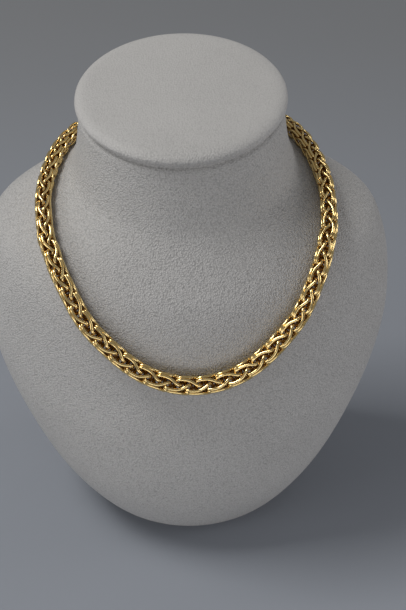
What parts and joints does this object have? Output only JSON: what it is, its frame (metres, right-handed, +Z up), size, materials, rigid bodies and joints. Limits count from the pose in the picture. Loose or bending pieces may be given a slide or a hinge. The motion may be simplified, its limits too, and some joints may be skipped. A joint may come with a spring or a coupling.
{
  "type": "wheat chain necklace on a plain neck bust",
  "caption": "Graduated wheat chain necklace of interlocked folded wire links, thick in front and thin at the nape, lying on a plain free-standing neck bust.",
  "frame": {"origin": "on the flat foot of the bust, under the middle of its neck", "axes": "+Z up; the bust faces -Y; +X is to the right of someone who looks at its front"},
  "size_m": [0.1844, 0.1226, 0.2158],
  "materials": {
    "leatherette": "matt pale grey leatherette with a fine grain",
    "gold": "polished yellow gold wire",
    "clasp_gold": "polished yellow gold, plain"
  },
  "bodies": {
    "root": {"bust": "leatherette", "left_chain": "gold", "right_chain": "gold", "clasp": "clasp_gold"}
  },
  "joints": []
}
